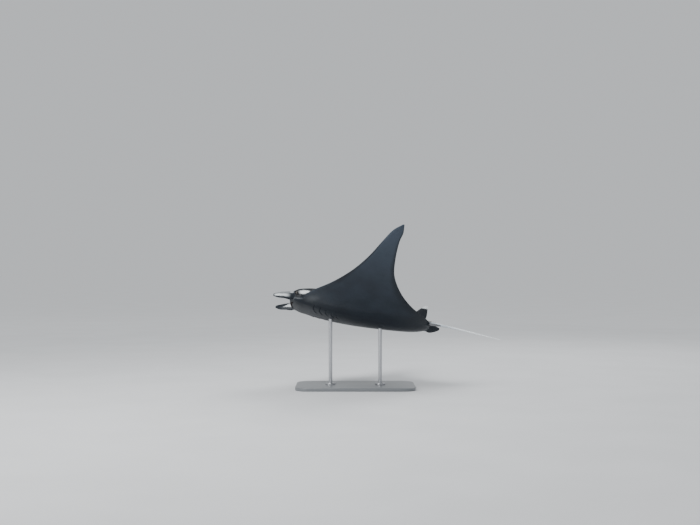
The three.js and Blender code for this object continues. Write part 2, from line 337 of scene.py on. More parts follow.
def combine(body, tools, operation):
    """Joins tools to a body or cuts them from it, and removes them."""
    for tool in tools:
        change = body.modifiers.new(tool.name, "BOOLEAN")
        change.operation = operation
        change.solver = "MANIFOLD"
        change.object = tool
    made = bpy.data.meshes.new_from_object(body.evaluated_get(bpy.context.evaluated_depsgraph_get()))
    if len(made.vertices) == len(body.data.vertices):
        raise RuntimeError(f"{operation} changed nothing on {body.name}")
    body.modifiers.clear()
    body.data = made
    for tool in tools:
        bpy.data.objects.remove(tool)


def distance_to(points, seeds, reach):
    """Each point's distance to the nearest seed, or reach where none is as near."""
    tree = kdtree.KDTree(len(seeds))
    for i, seed in enumerate(seeds):
        tree.insert(seed, i)
    tree.balance()
    low, high = seeds.min(0) - reach, seeds.max(0) + reach
    near = np.flatnonzero(((points > low) & (points < high)).all(1))
    found = np.full(len(points), reach)
    for i in near:
        found[i] = min(reach, tree.find(points[i])[2])
    return found


def blend_seams(mesh, reaches, rounds, fill=0.0):
    """Fills the seams that a boolean left and softens them, each kind of part over its own reach."""
    edges = edges_of(mesh)
    part = get_field(mesh, "part")
    seam = part < 0.5
    kind = np.zeros(len(part))
    for a, b in ((0, 1), (1, 0)):
        np.maximum.at(kind, edges[:, a], np.where(seam[edges[:, a]], part[edges[:, b]], 0))
    points = points_of(mesh)
    weight = np.zeros(len(points))
    for one, reach in reaches.items():
        chosen = seam & (np.abs(kind - one) < 0.5)
        if chosen.any():
            weight = np.maximum(weight, 1 - distance_to(points, points[chosen], reach) / reach)
    points += normals_of(mesh) * (fill * weight**3)[:, None]
    moving = weight > 0
    kept = moving[edges].any(1)
    for _ in range(rounds):
        pull = neighbour_mean(points, edges[kept]) - points
        points[moving] += 0.6 * weight[moving, None] ** 0.7 * pull[moving]
    set_points(mesh, points)
    for name, width in (("part", 1), ("marks", 3)):
        values = get_field(mesh, name, width)
        for _ in range(2):
            known = ~seam
            mean = neighbour_mean(np.where(known if width == 1 else known[:, None], values, 0), edges)
            share = neighbour_mean(known.astype(float), edges)
            ready = seam & (share > 0)
            values[ready] = (mean[ready].T / share[ready]).T
        set_field(mesh, name, values)


# ---- The level animal ----
def section_depth(xi, rear):
    """Height of the skin along a section's chord, as a share of its greatest height."""
    peak = NOSE_POWER / (NOSE_POWER + rear)
    return (xi / peak) ** NOSE_POWER * ((1 - xi) / (1 - peak)) ** rear


def chord_places(height, rear, stops, multiple):
    """Chord fractions spaced along the skin of the midline section by stops of (x, spacing)."""
    length = STATIONS[0][2]
    xi = (1 - np.cos(np.linspace(0, np.pi, 8001))) / 2
    z = height * section_depth(xi, rear)
    arc = np.concatenate([[0], np.cumsum(np.hypot(np.diff(xi * length), np.diff(z)))])
    stops = [(np.interp(x / length, xi, arc), spacing) for x, spacing in stops]
    stops[-1] = (arc[-1], stops[-1][1])
    return np.interp(graded(stops, multiple), arc, xi)


def gill_relief(x, y):
    """Five slits a side, each behind a flap that rises towards it."""
    relief = np.zeros_like(x)
    for centre, inner, outer in GILLS:
        middle, half = (inner + outer) / 2, (outer - inner) / 2
        across = (y - middle) / half
        line = centre + 15 * across**2 - 10 * across
        inside = smooth(1.06 - np.abs(across), 0, 0.14)
        behind = x - line
        flap = 2.0 * smooth(behind, -34, -3) * (1 - smooth(behind, -1.5, 1.5))
        slit = -2.4 * hump(behind, 3.0, 2.6)
        relief += inside * (flap + slit)
    return relief


def wing_relief(x, y, chord, lower):
    """Muscle and the faint ridges of the fin rays."""
    root = smooth(y, 200, 330) * (1 - smooth(y, 380, 700))
    muscle = 3.0 * root * hump(chord, 0.38, 0.24)
    trough = -4.0 * hump(y, 214, 34) * smooth(x, 170, 320) * (1 - smooth(x, 760, 1000))
    rays = 0.10 * np.sin(2 * np.pi * 34 * chord + 5 * np.sin(y / 90))
    rays = rays * smooth(y, 260, 420) * smooth(chord, 0.10, 0.25)
    ripple = 1.5 * np.sin(2 * np.pi * y / 330 + 1.1) * smooth(chord, 0.6, 1.0) * smooth(y, 300, 500)
    tip = 1 - smooth(y, 900, 1150)
    return (muscle + trough) * np.where(lower, 0.7, 1.0) + rays * tip + np.where(lower, -1, 1) * ripple * tip


def head_relief(x, y, lower):
    """Brow, cheek, lips, nostrils and throat folds."""
    brow = 5.0 * hump(x, 66, 40) * hump(y, 138, 22)
    dip = -3.5 * hump(x, 70, 60) * hump(y, 66, 40)
    nape = -2.5 * hump(x, 205, 50) * (1 - smooth(y, 110, 190))
    spine = 2.2 * hump(y, 0, 30) * smooth(x, 300, 520) * (1 - smooth(x, 980, 1100))
    throat = -3.0 * hump(x, 150, 34) * (1 - smooth(y, 120, 170))
    chin = 2.5 * hump(x, 92, 26) * (1 - smooth(y, 96, 150))
    line = 13 + 13 * (y / MOUTH["half_width"]) ** 2
    wide = 1 - smooth(y, MOUTH["half_width"] - 8, MOUTH["half_width"] + 10)
    lips = (1.8 * hump(x, line + 17, 5) + 1.2 * hump(x, line - 7, 4)) * wide
    nostril = -3.0 * hump(x, 22, 4) * hump(y, 124, 7)
    cheek = 4.0 * smooth(x, 18, 50) * (1 - smooth(x, 90, 150)) * hump(y, 150 + 0.42 * (x - 40), 13)
    return np.where(lower, throat + chin + lips + nostril + cheek, brow + dip + nape + spine)


def spiracle_relief(x, y):
    """A short slit where the wing meets the back of the head."""
    along = (x - 138) * 0.85 + (y - 178) * 0.53
    across = -(x - 138) * 0.53 + (y - 178) * 0.85
    inside = smooth(15 - np.abs(along), 0, 5)
    return inside * (1.6 * hump(across, -5, 4) - 5.0 * hump(across, 0, 2.6))


def make_disc(settings):
    """Head, trunk and pectoral fins as one level body with its relief."""
    # Sections across the disc, closest together on the head.
    grid = settings.head_grid / MM
    wing = settings.wing_grid / MM
    half = np.array(STATIONS, float)
    other = half[:0:-1] * (1, -1, 1, -1, 1, 1)
    whole = np.vstack([other, half])
    fine = np.linspace(len(half) - 1, len(whole) - 1, 4001)
    sample = through(whole, fine)
    spacing = [(0, grid), (195, grid), (290, 2 * grid), (430, wing), (1140, wing), (HALF_SPAN - 2.5, 1.5)]
    across = graded(spacing)
    u = np.interp(across, (sample[:, 1] + sample[:, 3]) / 2, fine)
    u = np.concatenate([len(whole) - 1 - u[:0:-1], u])
    front_x, front_y, back_x, back_y, top, bottom = through(whole, u).T[:, :, None]

    # Points round each section, back along the upper skin and forward along the lower one.
    above = [(0, grid), (170, grid), (300, 4.5), (1100, 7), (1175, 2.5)]
    below = [(0, grid), (170, grid), (240, 1.6 * grid), (540, 1.6 * grid), (700, 7), (1100, 7), (1175, 2.5)]
    upper = chord_places(STATIONS[0][4], REAR_POWER, above, 8)
    lower = chord_places(STATIONS[0][5], BELLY_REAR_POWER, below, 8)
    xi = np.concatenate([upper, lower[-2:0:-1]])[None, :]
    is_lower = (np.arange(xi.size) >= len(upper))[None, :]
    belly = BELLY_REAR_POWER + (REAR_POWER - BELLY_REAR_POWER) * smooth(np.abs(back_y), 0, BELLY_HALF)
    tip = np.sqrt(np.clip(1 - ((np.abs(back_y) - HALF_SPAN + 9) / 8).clip(0) ** 2, 0.02, 1))
    edge = EDGE_HALF * np.minimum(1, 8 * xi) * np.sqrt(np.minimum(1, (1 - xi) * (back_x - front_x) / 1.5))
    x = front_x + (back_x - front_x) * xi
    y = front_y + (back_y - front_y) * xi
    depth = np.where(is_lower, bottom * section_depth(xi, belly), top * section_depth(xi, REAR_POWER)) + edge
    z = np.where(is_lower, -depth, depth)
    points = np.stack([x, y, z * tip], 2)

    # Relief along the normals, none on the rims.
    sideways = np.gradient(points, axis=0)
    along = np.roll(points, -1, 1) - np.roll(points, 1, 1)
    normal = np.cross(along, sideways)
    normal /= np.maximum(np.linalg.norm(normal, axis=2, keepdims=True), 1e-9)
    facing = np.where(is_lower, -1, 1) * normal[:, :, 2]
    normal *= np.sign(np.median(facing))
    y = np.abs(y)
    chord = np.broadcast_to(xi, y.shape)
    under = np.broadcast_to(is_lower, y.shape)
    relief = wing_relief(x, y, chord, under) + head_relief(x, y, under)
    relief += np.where(under, gill_relief(x, y), spiracle_relief(x, y))
    relief *= smooth(chord, 0, 0.012) * smooth(1 - chord, 0, 0.03)
    points += normal * relief[:, :, None]

    # Fewer points round the thin outer sections.
    marks = np.stack([chord, np.where(under, 1.0, 0.0), np.zeros_like(chord)], 2)
    marks[:, 0, 1] = marks[:, len(upper) - 1, 1] = 0.5
    reach = np.abs(back_y[:, 0])
    stride = np.select([reach < 300, reach < 700, reach < 1050], [1, 2, 4], 8)
    rings = [ring[::step] for ring, step in zip(points, stride)]
    fields = [ring[::step] for ring, step in zip(marks, stride)]
    made = ring_object("ray_skin", rings)
    ends = np.zeros((2, 3))
    ends[:, 0] = 0.5
    set_field(made.data, "marks", np.vstack([*fields, ends]))
    set_field(made.data, "part", np.full(len(made.data.vertices), float(BODY)))
    return made


def ring_object(name, rings):
    """A mesh object over rings of points in millimetres."""
    points, faces = skin_of_rings(rings)
    return make_object(name, points * MM, faces)


def make_tool(name, rings, part, marks=None):
    """A closed tool from rings in millimetres, tagged with its part."""
    tool = ring_object(name, rings)
    count = len(tool.data.vertices)
    values = np.zeros((count, 3))
    if marks is not None:
        values[:-2] = np.concatenate(marks)
        values[-2:] = values[0], values[-3]
    set_field(tool.data, "marks", values)
    set_field(tool.data, "part", np.full(count, float(part)))
    return tool


def cephalic_fin(side):
    """A leaf rolled into a horn that is open towards the midline, with thin rims and a round tip."""
    steps, turns = 90, 44
    sweep = CEPHALIC_CURL * np.linspace(1, -1, turns)
    rim = np.abs(np.linspace(1, -1, turns))
    rings, marks = [], []
    for t in 1 - (1 - np.linspace(0, 1, steps)) ** 1.3:
        x, y, z, across, up = through(CEPHALIC_FIN, t * (len(CEPHALIC_FIN) - 1))[0]
        close = round_end(t, 0.955, 0.05)
        leaf = min(CEPHALIC_LEAF, across) * (1 - 0.55 * rim**4)
        height = np.sin(sweep)
        outer = np.stack([across * np.cos(sweep), up * height], 1)
        inner = np.stack([(across - leaf) * np.cos(sweep) - 0.3 * leaf, (up - 0.7 * leaf) * height], 1)
        ring = np.concatenate([outer, inner[::-1]]) * close
        rings.append(ring_of(x, side * (y + ring[:, 0]), z + ring[:, 1]))
        heights = np.concatenate([height, height[::-1]])
        faces = np.concatenate([np.ones(turns), -np.ones(turns)])
        marks.append(ring_of(t, heights, faces))
    return make_tool("horn", rings, HORN, marks)


def oval_rings(rows, steps, sides, side=1, droop=0.0):
    """Oval sections along the rows of a table, with a round end, rolled so that the outer edge droops."""
    turn = around(sides)
    cos, sin = math.cos(droop), math.sin(droop)
    rings, marks = [], []
    for t in 1 - (1 - np.linspace(0, 1, steps)) ** 1.2:
        x, y, z, across, up = through(rows, t * (len(rows) - 1))[0]
        close = round_end(t, 0.97, 0.05)
        dy, dz = close * across * np.cos(turn), close * up * np.sin(turn)
        rings.append(ring_of(x, side * (y + dy * cos + dz * sin), z + dz * cos - dy * sin))
        marks.append(ring_of(t, np.sin(turn), np.cos(turn)))
    return rings, marks


def dorsal_fin():
    """A small fin that leans back, thickest near its front, with a round tip."""
    base, tip = DORSAL_BASE, DORSAL_TIP
    turn = around(48)
    rings, marks = [], []
    for t in np.linspace(0, 1, 50):
        lean = 0.6 * t + 0.4 * t**3
        front = base["front"] + (tip["front"] - base["front"]) * lean
        back = base["back"] + (tip["back"] - base["back"]) * t**4 + DORSAL_SWELL * math.sin(math.pi * t)
        half = base["half"] + (tip["half"] - base["half"]) * t
        close = round_end(t, 0.93, 0.1)
        section = half * np.sin(turn) * (1 + 0.35 * np.cos(turn)) * close
        middle, reach = (front + back) / 2, (back - front) / 2 * close
        z = base["z"] + (tip["z"] - base["z"]) * t
        rings.append(ring_of(middle - reach * np.cos(turn), section, z))
        marks.append(ring_of(t, np.cos(turn), 0.0))
    return make_tool("dorsal", rings, DORSAL, marks)


def mouth_cut():
    """A wide shallow mouth: its line arches and its corners close."""
    turn = around(160)
    rings = []
    for t in np.linspace(0, 1, 26):
        x = -MOUTH["lip"] + (MOUTH["back"] + MOUTH["lip"]) * t
        narrow = math.sqrt(max(1 - t**3.5, 0.01))
        width = MOUTH["half_width"] * (0.86 + 0.14 * narrow) * (1 - 0.12 * t)
        opening = MOUTH["half_opening"] * narrow * 1.1
        y = width * np.cos(turn)
        arch = 3 - 9 * (y / MOUTH["half_width"]) ** 2
        z = MOUTH["z"] + arch + opening * np.sin(turn) * (1 - 0.25 * np.cos(turn) ** 2)
        rings.append(ring_of(x, y, z))
    return make_tool("mouth", rings, MOUTH_PART)


def socket_cut(side):
    """A ball that cuts the socket of one eye."""
    turn = around(72)
    radius = EYE_RADIUS + SOCKET_PLAY
    centre = EYE_CENTRE * (1, side, 1)
    rings = []
    for lift in np.linspace(math.radians(87), math.radians(-87), 48):
        ring = radius * math.cos(lift)
        rings.append(centre + ring_of(ring * np.cos(turn), ring * np.sin(turn), radius * math.sin(lift)))
    return make_tool("socket", rings, SOCKET)


def refine_round_eyes(mesh):
    """Splits the faces round each eye once, so that the lids come out crisp."""
    made = bmesh.new()
    made.from_mesh(mesh)
    for side in (1, -1):
        centre = Vector(EYE_CENTRE * MM * (1, side, 1))
        chosen = [edge for edge in made.edges if (edge.verts[0].co - centre).length < ORBIT_REACH * MM]
        bmesh.ops.subdivide_edges(made, edges=chosen, cuts=1, use_grid_fill=True)
    bmesh.ops.triangulate(made, faces=[face for face in made.faces if len(face.verts) > 4])
    made.to_mesh(mesh)
    made.free()


def orbit_relief(points):
    """A soft swelling round each eye, with a lid that rims the eyeball and a fold outside it."""
    relief = np.zeros(len(points))
    for side in (1, -1):
        away = np.linalg.norm(points - EYE_CENTRE * (1, side, 1), axis=1)
        relief += 2.2 * hump(away, 24, 16) + 1.9 * hump(away, 22.6, 2.4) - 1.5 * hump(away, 29.5, 3.2)
    return relief


def bent(points):
    """Level points in metres bent into the wing stroke."""
    x, y, z = points.T
    rate = TIP_SLOPE / ((HALF_SPAN - RIGID_HALF) * MM)
    rigid = RIGID_HALF * MM
    angle = np.maximum(np.abs(y) - rigid, 0) * rate
    reach = np.minimum(np.abs(y), rigid) + np.sin(angle) / rate
    rise = (1 - np.cos(angle)) / rate + z * np.cos(angle)
    return np.column_stack([x, np.sign(y) * (reach - z * np.sin(angle)), rise])


def pose():
    """The matrix that banks the bent animal over its stand."""
    turn = Matrix.Rotation(HEADING, 4, "Z") @ Matrix.Rotation(CLIMB, 4, "Y") @ Matrix.Rotation(-BANK, 4, "X")
    return Matrix.Translation((0, 0, AXIS_HEIGHT * MM)) @ turn @ Matrix.Translation((-BALANCE_X * MM, 0, 0))


def placed(points):
    turn = np.array(pose())
    return points @ turn[:3, :3].T + turn[:3, 3]


def finish_piece(obj, material, slot, *nodes):
    """Material, body and the hidden solids that a piece stands for. The slot is not used."""
    obj.data.materials.clear()
    obj.data.materials.append(material)
    obj.data.polygons.foreach_set("use_smooth", [True] * len(obj.data.polygons))
    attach(obj, "root")
    if nodes:
        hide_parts(*nodes)


# ---- Materials ----
class Value:
    """A socket of a material, with the arithmetic that the paints use."""

    def __init__(self, paint, socket):
        self.paint = paint
        self.socket = socket

    def math(self, operation, *others):
        inputs = {0: self}
        inputs.update({i + 1: other for i, other in enumerate(others)})
        return self.paint.node("ShaderNodeMath", {"operation": operation}, inputs)

    def __add__(self, other):
        return self.math("ADD", other)

    def __sub__(self, other):
        return self.math("SUBTRACT", other)

    def __mul__(self, other):
        return self.math("MULTIPLY", other)

    def __truediv__(self, other):
        return self.math("DIVIDE", other)

    def __pow__(self, other):
        return self.math("POWER", other)

    def __rsub__(self, other):
        return self.paint.node("ShaderNodeMath", {"operation": "SUBTRACT"}, {0: other, 1: self})

    __radd__ = __add__
    __rmul__ = __mul__

    def __abs__(self):
        return self.math("ABSOLUTE")

    def ramp(self, low, high):
        """0 at low, 1 at high and smooth between, whichever is the larger."""
        flip = low > high
        inputs = {"Value": self, "From Min": min(low, high), "From Max": max(low, high),
                  "To Min": 1.0 if flip else 0.0, "To Max": 0.0 if flip else 1.0}
        return self.paint.node("ShaderNodeMapRange", {"interpolation_type": "SMOOTHSTEP"}, inputs)


class Paint:
    """One procedural material and its node tree."""

    def __init__(self, name):
        self.material = bpy.data.materials.new(name)
        self.material.use_nodes = True
        self.tree = self.material.node_tree
        self.shader = self.tree.nodes["Principled BSDF"]

    def node(self, kind, settings=None, inputs=None, output=0):
        made = self.tree.nodes.new(kind)
        for key, value in (settings or {}).items():
            setattr(made, key, value)
        for key, value in (inputs or {}).items():
            self.put(made.inputs[key], value)
        return Value(self, made.outputs[output])

    def put(self, socket, value):
        if isinstance(value, Value):
            self.tree.links.new(value.socket, socket)
        elif socket.type == "RGBA":
            socket.default_value = (*value[:3], 1.0)
        else:
            socket.default_value = value

    def field(self, name, output="Fac"):
        return self.node("ShaderNodeAttribute", {"attribute_name": name}, output=output)

    def axes(self, vector):
        return [self.node("ShaderNodeSeparateXYZ", inputs={0: vector}, output=i) for i in range(3)]

    def noise(self, vector, scale, detail=3.0, roughness=0.5, stretch=(1, 1, 1)):
        """Noise from 0 to 1 about 0.5, stretched along some axes."""
        place = self.node("ShaderNodeVectorMath", {"operation": "MULTIPLY"}, {0: vector, 1: stretch})
        return self.node("ShaderNodeTexNoise", inputs={"Vector": place, "Scale": scale, "Detail": detail,
                                                       "Roughness": roughness})

    def mix(self, mask, low, high):
        """Colour low where the mask is 0 and high where it is 1."""
        return self.node("ShaderNodeMix", {"data_type": "RGBA"}, {0: mask, 6: low, 7: high}, output=2)

    def bump(self, height, distance, strength=1.0, normal=None):
        inputs = {"Strength": strength, "Distance": distance, "Height": height}
        if normal is not None:
            inputs["Normal"] = normal
        return self.node("ShaderNodeBump", inputs=inputs)

    def surface(self, **values):
        """Sets the shader's sockets, with underscores for spaces."""
        for key, value in values.items():
            self.put(self.shader.inputs[key.replace("_", " ")], value)
        return self.material


def shade(colour, factor):
    """A colour made lighter or darker by a factor."""
    return tuple(factor * part for part in colour)


def ellipse(across, along, half_across, half_along):
    """1 on an ellipse's rim and less inside it."""
    return ((across / half_across) ** 2 + (along / half_along) ** 2) ** 0.5


def head_marks(x, y, z, ragged):
    """How white the head is: an oval behind the eye and a thin line that runs on from the fin below it."""
    patch = EYE_PATCH
    along = x - patch["x"] * MM
    up = z - patch["z"] * MM - along * patch["slope"]
    oval = ellipse(along, up, patch["half_length"] * MM, patch["half_height"] * MM) + ragged * 0.5
    line = abs(z + 0.011 + (x - 0.06) * 0.03).ramp(0.008, 0.002) * x.ramp(0.010, 0.030) * x.ramp(0.140, 0.090)
    return (oval.ramp(1.28, 0.50) + line * 0.06 * (1 + ragged)) * y.ramp(0.138, 0.150)


def horn_marks(t, height, face, ragged):
    """How white a cephalic fin is, where t runs along it, height from its lower rim to its upper one."""
    t = t + ragged * 0.05
    height = height + ragged * 0.35
    streak = abs(height + 0.12).ramp(0.56, 0.10) * t.ramp(0.24, 0.50) * t.ramp(1.0, 0.86)
    haze = height.ramp(0.05, 0.50) * t.ramp(0.28, 0.40) * t.ramp(1.0, 0.85)
    spot = ellipse(t - 0.26, height - 0.72, 0.10, 0.34).ramp(1.1, 0.5)
    rim = height.ramp(0.80, 0.95) * t.ramp(0.62, 0.70) * t.ramp(0.86, 0.78)
    inner = (t + height * 0.22).ramp(0.68, 0.58) * height.ramp(-0.25, 0.15)
    outer_face = face.ramp(-0.2, 0.2)
    return outer_face * (streak + haze * 0.26 + spot * 0.50) + (1 - outer_face) * inner + rim * 0.25


def skin_paint(colours):
    """Slate hide, darkest over the head, with the white marks of the head and fins. Painted shade makes the
    under side dark, darkest along its middle, and the inside of the mouth near black; painted light makes the
    wings lighter towards their tips.
    """
    paint = Paint("ray_hide")
    level = paint.field("level", "Vector")
    x, y, z = paint.axes(level)
    y = abs(y)
    lower = paint.field("lower")
    chord = paint.field("chord")
    horn_mask = paint.field("horn_mask")
    cloud = paint.noise(level, 7.0, 4.0, 0.55)
    fleck = paint.noise(level, 55.0, 4.0, 0.6)
    grain = paint.noise(level, 420.0, 2.0, 0.6)
    ragged = fleck - 0.5

    # The two sides, with a dark collar over the head, painted shade on the under side and painted light
    # towards the wing tips.
    back = paint.mix(cloud.ramp(0.35, 0.72), colours.back, shade(colours.back, 1.8))
    collar_end = (x - y * 0.25 + (cloud - 0.5) * 0.06).ramp(0.260, 0.150)
    back = paint.mix(x.ramp(0.025, 0.060) * collar_end * y.ramp(0.30, 0.18) * 0.8, back, colours.margin)
    belly = paint.mix(cloud.ramp(0.30, 0.75) * 0.8 + fleck.ramp(0.5, 0.8) * 0.2, colours.belly,
                      shade(colours.belly, 1.5))
    # Painted shade: the middle of the under side is darkened towards the margin colour, where the belly faces
    # down.
    belly = paint.mix(y.ramp(0.32, 0.14) * 0.55, belly, colours.margin)
    # Painted shade: the under side takes the dark belly colour, for the shade below the animal.
    colour = paint.mix((lower + ragged * 0.25).ramp(0.35, 0.65), back, belly)
    # Painted light: the colour grows lighter towards the wing tips, for the light they catch.
    colour = paint.mix(y.ramp(0.50, 1.15) * 0.60, colour, shade(colours.belly, 3.2))

    # Dark edges along the wings.
    front_edge = (chord + (cloud - 0.5) * 0.05).ramp(0.10, 0.0) * y.ramp(0.40, 0.62) * y.ramp(1.12, 0.95)
    rear_edge = (chord + ragged * 0.06).ramp(0.84, 0.985) * y.ramp(0.10, 0.30)
    colour = paint.mix(front_edge * 0.7, colour, colours.margin)
    colour = paint.mix(rear_edge * 0.6, colour, colours.margin)

    # Pale marks and the dark ring round each eye.
    pale, (cos, sin) = SHOULDER_PALE, SHOULDER_AXIS
    dx, dy = x - pale["x"] * MM, y - pale["y"] * MM
    shoulder = ellipse(dx * cos + dy * sin, dx * sin - dy * cos, pale["half_length"] * MM,
                       pale["half_width"] * MM)
    colour = paint.mix((shoulder + ragged * 0.5).ramp(1.1, 0.1) * lower * 0.06, colour, colours.patch)

    eye_x, eye_y, eye_z = EYE_CENTRE * MM
    eye_gap = ((x - eye_x) ** 2 + (y - eye_y) ** 2 + (z - eye_z) ** 2) ** 0.5
    colour = paint.mix((eye_gap + ragged * 0.01).ramp(0.043, 0.030), colour, colours.margin)
    colour = paint.mix(head_marks(x, y, z, ragged) * (1 - horn_mask), colour, colours.patch)
    horn_white = horn_marks(*paint.axes(paint.field("horn", "Vector")), ragged)
    horn_dark = paint.mix(0.6, colours.margin, colours.belly)
    colour = paint.mix(horn_mask, colour, paint.mix(horn_white, horn_dark, colours.patch))

    dorsal_tip = (z + ragged * 0.01).ramp(DORSAL_WHITE["low"] * MM, DORSAL_WHITE["high"] * MM)
    colour = paint.mix(dorsal_tip * x.ramp(1.04, 1.06) * y.ramp(0.05, 0.03), colour, colours.patch)
    tail = paint.field("tail_mask")
    tail_tone = paint.mix(fleck.ramp(0.35, 0.7), colours.tail, shade(colours.tail, 1.3))
    tail_tone = paint.mix(x.ramp(TAIL_WHITE["from"] * MM, TAIL_WHITE["to"] * MM), tail_tone,
                          shade(colours.patch, 1.2))
    colour = paint.mix(tail * x.ramp(TAIL_PALE["from"] * MM, TAIL_PALE["to"] * MM), colour, tail_tone)

    # Painted shade: the inside of the mouth is painted near black, as it lies in shade; it is also rougher
    # and has no coat.
    mouth = paint.field("mouth_mask").ramp(0.3, 0.7)
    colour = paint.mix(mouth, colour, colours.mouth)

    # Sheen, fin rays and the skin's grain.
    roughness = 0.54 + ragged * 0.16 + (grain - 0.5) * 0.10 + mouth * 0.3
    rays = paint.node("ShaderNodeTexWave", {"wave_type": "BANDS", "bands_direction": "X"},
                      {"Vector": paint.node("ShaderNodeCombineXYZ", inputs={0: chord, 1: y * 0.05, 2: 0.0}),
                       "Scale": 22.0, "Distortion": 1.2, "Detail": 2.0, "Detail Scale": 3.0})
    relief = paint.bump(rays * y.ramp(0.25, 0.45) * chord.ramp(0.08, 0.25), 0.0004, 0.4)
    relief = paint.bump(fleck, 0.0009, 0.5, relief)
    relief = paint.bump(grain, 0.0004, 0.6, relief)
    return paint.surface(Base_Color=colour, Roughness=roughness, Normal=relief, Specular_IOR_Level=0.22,
                         Coat_Weight=0.04 - mouth * 0.04, Coat_Roughness=0.3)


def eye_paint(colours):
    """A dark eye: a wide pupil under a lobe, a bronze iris and a dark rim."""
    paint = Paint("ray_eye")
    across, up, _ = paint.axes(paint.field("gaze", "Vector"))
    radius = (across * across + up * up) ** 0.5
    fibres = paint.noise(paint.field("gaze", "Vector"), 26.0, 3.0, 0.6)
    pupil_radius = ((across / 0.52) ** 2 + ((up + 0.03) / 0.30) ** 2) ** 0.5
    lobe = ((across / 0.22) ** 2 + ((up - 0.27) / 0.20) ** 2) ** 0.5
    pupil = pupil_radius.ramp(1.05, 0.95) * lobe.ramp(0.9, 1.05)
    iris = paint.mix(fibres.ramp(0.35, 0.7), colours.iris, shade(colours.iris, 2.4))
    colour = paint.mix((radius + (fibres - 0.5) * 0.04).ramp(0.60, 0.70), iris, colours.rim)
    colour = paint.mix(pupil, colour, (0.002, 0.002, 0.002))
    return paint.surface(Base_Color=colour, Roughness=0.20 + radius.ramp(0.75, 1.0) * 0.2, Coat_Weight=0.35,
                         Coat_Roughness=0.10, Specular_IOR_Level=0.45)


def bone_paint():
    """Dry bone with a fine grain along it."""
    paint = Paint("spine_bone")
    place = paint.node("ShaderNodeTexCoord", output="Object")
    grain = paint.noise(place, 260.0, 4.0, 0.6, (0.15, 1, 1))
    colour = paint.mix(grain.ramp(0.35, 0.7), (0.30, 0.26, 0.19), (0.50, 0.45, 0.36))
    return paint.surface(Base_Color=colour, Roughness=0.45 + (grain - 0.5) * 0.2,
                         Normal=paint.bump(grain, 0.0003))


def lacquer_paint(colour):
    """Satin lacquer with a slight peel."""
    paint = Paint("base_lacquer")
    place = paint.node("ShaderNodeTexCoord", output="Object")
    peel = paint.noise(place, 160.0, 2.0, 0.5)
    cloud = paint.noise(place, 3.0, 3.0, 0.5)
    tone = paint.mix(cloud.ramp(0.3, 0.7), shade(colour, 0.97), shade(colour, 1.03))
    return paint.surface(Base_Color=tone, Roughness=0.36 + (cloud - 0.5) * 0.10, Coat_Weight=0.25,
                         Coat_Roughness=0.2, Normal=paint.bump(peel, 0.0002, 0.25))


def steel_paint(colour, name, stretch):
    """Steel brushed along the directions in which stretch is small."""
    paint = Paint(name)
    place = paint.node("ShaderNodeTexCoord", output="Object")
    brush = paint.noise(place, 900.0, 3.0, 0.7, stretch)
    smear = paint.noise(place, 9.0, 3.0, 0.6)
    tone = paint.mix(brush.ramp(0.2, 0.8), shade(colour, 0.85), shade(colour, 1.1))
    return paint.surface(Base_Color=tone, Metallic=1.0, Roughness=0.24 + brush * 0.12 + smear * 0.06,
                         Normal=paint.bump(brush, 0.00005, 0.4))


# ---- Pieces ----
class RAY_OT_skin(bpy.types.Operator):
    """Makes the one skin that covers the head, trunk, fins and tail"""

    bl_idname = "ray.skin"
    bl_label = "Skin"

    def execute(self, context):
        settings = context.scene.ray_skin
        skin = make_disc(settings)
        tail_rings, tail_marks = oval_rings(TAIL, steps=190, sides=32)
        tools = [make_tool("tail", tail_rings, TAIL_PART, tail_marks), dorsal_fin()]
        for side in (1, -1):
            rings, marks = oval_rings(PELVIC_FIN, steps=60, sides=56, side=side, droop=PELVIC_DROOP)
            tools += [make_tool("pelvic", rings, PELVIC, marks), cephalic_fin(side)]
        combine(skin, tools, "UNION")
        fillet = settings.fillet
        reaches = {HORN: fillet, DORSAL: 0.6 * fillet, PELVIC: fillet, TAIL_PART: 1.4 * fillet}
        blend_seams(skin.data, reaches, rounds=44, fill=0.16 * fillet)
        refine_round_eyes(skin.data)
        level = points_of(skin.data)
        set_points(skin.data, level + normals_of(skin.data) * orbit_relief(level / MM)[:, None] * MM)
        combine(skin, [mouth_cut(), socket_cut(1), socket_cut(-1)], "DIFFERENCE")
        blend_seams(skin.data, {MOUTH_PART: 6 * MM, SOCKET: 2.5 * MM}, rounds=8)
        self.mark(skin.data)
        set_points(skin.data, placed(bent(points_of(skin.data))))
        finish_piece(skin, skin_paint(settings), "skin", *FLESH_NODES)
        return {"FINISHED"}

    def mark(self, mesh):
        """Keeps each point's level place and which part it is on, for the paint."""
        part = get_field(mesh, "part")
        marks = get_field(mesh, "marks", 3)
        normals = normals_of(mesh)
        on = {kind: np.abs(part - kind) < 0.5 for kind in (BODY, HORN, TAIL_PART, MOUTH_PART)}
        edges = edges_of(mesh)
        fields = {
            "lower": np.where(on[BODY], marks[:, 1], normals[:, 2] < 0),
            "chord": np.where(on[BODY], marks[:, 0], 0.5),
            "horn_mask": on[HORN].astype(float),
            "tail_mask": on[TAIL_PART].astype(float),
            "mouth_mask": on[MOUTH_PART].astype(float),
        }
        for name, values in fields.items():
            for _ in range(16 if name == "horn_mask" else 2):
                values = 0.5 * values + 0.5 * neighbour_mean(values, edges)
            set_field(mesh, name, values)
        set_field(mesh, "horn", np.where(on[HORN][:, None], marks, 0))
        set_field(mesh, "level", points_of(mesh))
        for name in ("part", "marks"):
            mesh.attributes.remove(mesh.attributes[name])


